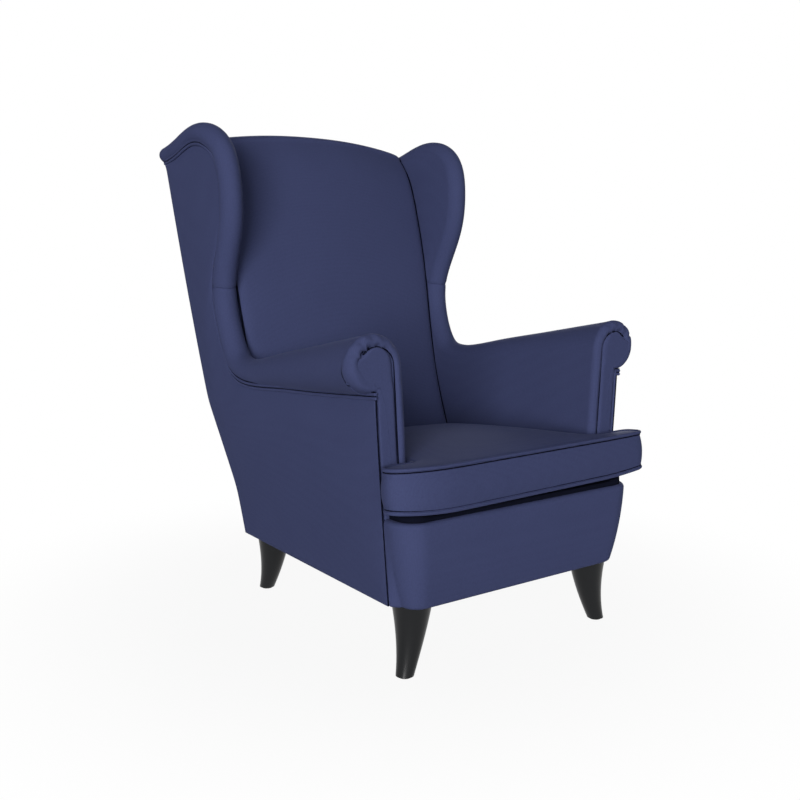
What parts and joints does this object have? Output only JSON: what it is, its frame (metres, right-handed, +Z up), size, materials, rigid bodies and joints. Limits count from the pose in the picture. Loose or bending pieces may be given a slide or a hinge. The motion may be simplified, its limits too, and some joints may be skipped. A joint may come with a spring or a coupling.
{
  "type": "wing armchair",
  "caption": "Upholstered wing armchair with scrolled arms, raked back, loose T-shaped seat cushion that lifts out, padded apron and dark sabre legs.",
  "frame": {"origin": "on the floor under the middle of the overall box", "axes": "+Z up, -Y the way the chair faces, +X to the right of someone who looks at its front"},
  "size_m": [0.7252, 0.878, 1.0454],
  "materials": {
    "navy_fabric": "matt plain weave",
    "frame_wood": "sawn",
    "black_lacquer": "satin lacquer",
    "steel": "zinc",
    "black_lining": "non-woven",
    "foam": "open cell",
    "black_plastic": "matt"
  },
  "bodies": {
    "chair": {"arm_facing_left": "navy_fabric", "arm_facing_right": "navy_fabric", "arm_pad_left": "navy_fabric", "arm_pad_right": "navy_fabric", "arm_post_left": "frame_wood", "arm_post_right": "frame_wood", "arm_rail_left": "frame_wood", "arm_rail_right": "frame_wood", "back_crest_rail": "frame_wood", "back_lower_rail": "frame_wood", "back_pad": "navy_fabric", "back_post_left": "frame_wood", "back_post_right": "frame_wood", "back_webbing": "black_lining", "corner_blocks": "frame_wood", "dust_cover": "black_lining", "front_apron": "navy_fabric", "front_rail": "frame_wood", "leg_bolts": "steel", "leg_front_left": "black_lacquer", "leg_front_right": "black_lacquer", "leg_glides": "black_plastic", "leg_nuts": "steel", "leg_rear_left": "black_lacquer", "leg_rear_right": "black_lacquer", "outside_back": "navy_fabric", "rear_rail": "frame_wood", "seat_deck": "black_lining", "seat_springs": "steel", "side_cover_left": "navy_fabric", "side_cover_right": "navy_fabric", "side_rail_left": "frame_wood", "side_rail_right": "frame_wood", "spring_clips": "steel", "wing_board_left": "frame_wood", "wing_board_right": "frame_wood", "wing_pad_left": "navy_fabric", "wing_pad_right": "navy_fabric"},
    "seat_cushion": {"cushion_core": "foam", "cushion_cover": "navy_fabric", "cushion_piping": "navy_fabric", "cushion_zip": "black_plastic"}
  },
  "joints": [
    {"name": "seat_cushion_lift", "type": "slide", "parent": "chair", "child": "seat_cushion", "axis": [0, 0, 1], "range_m": [0, 0.35]}
  ]
}
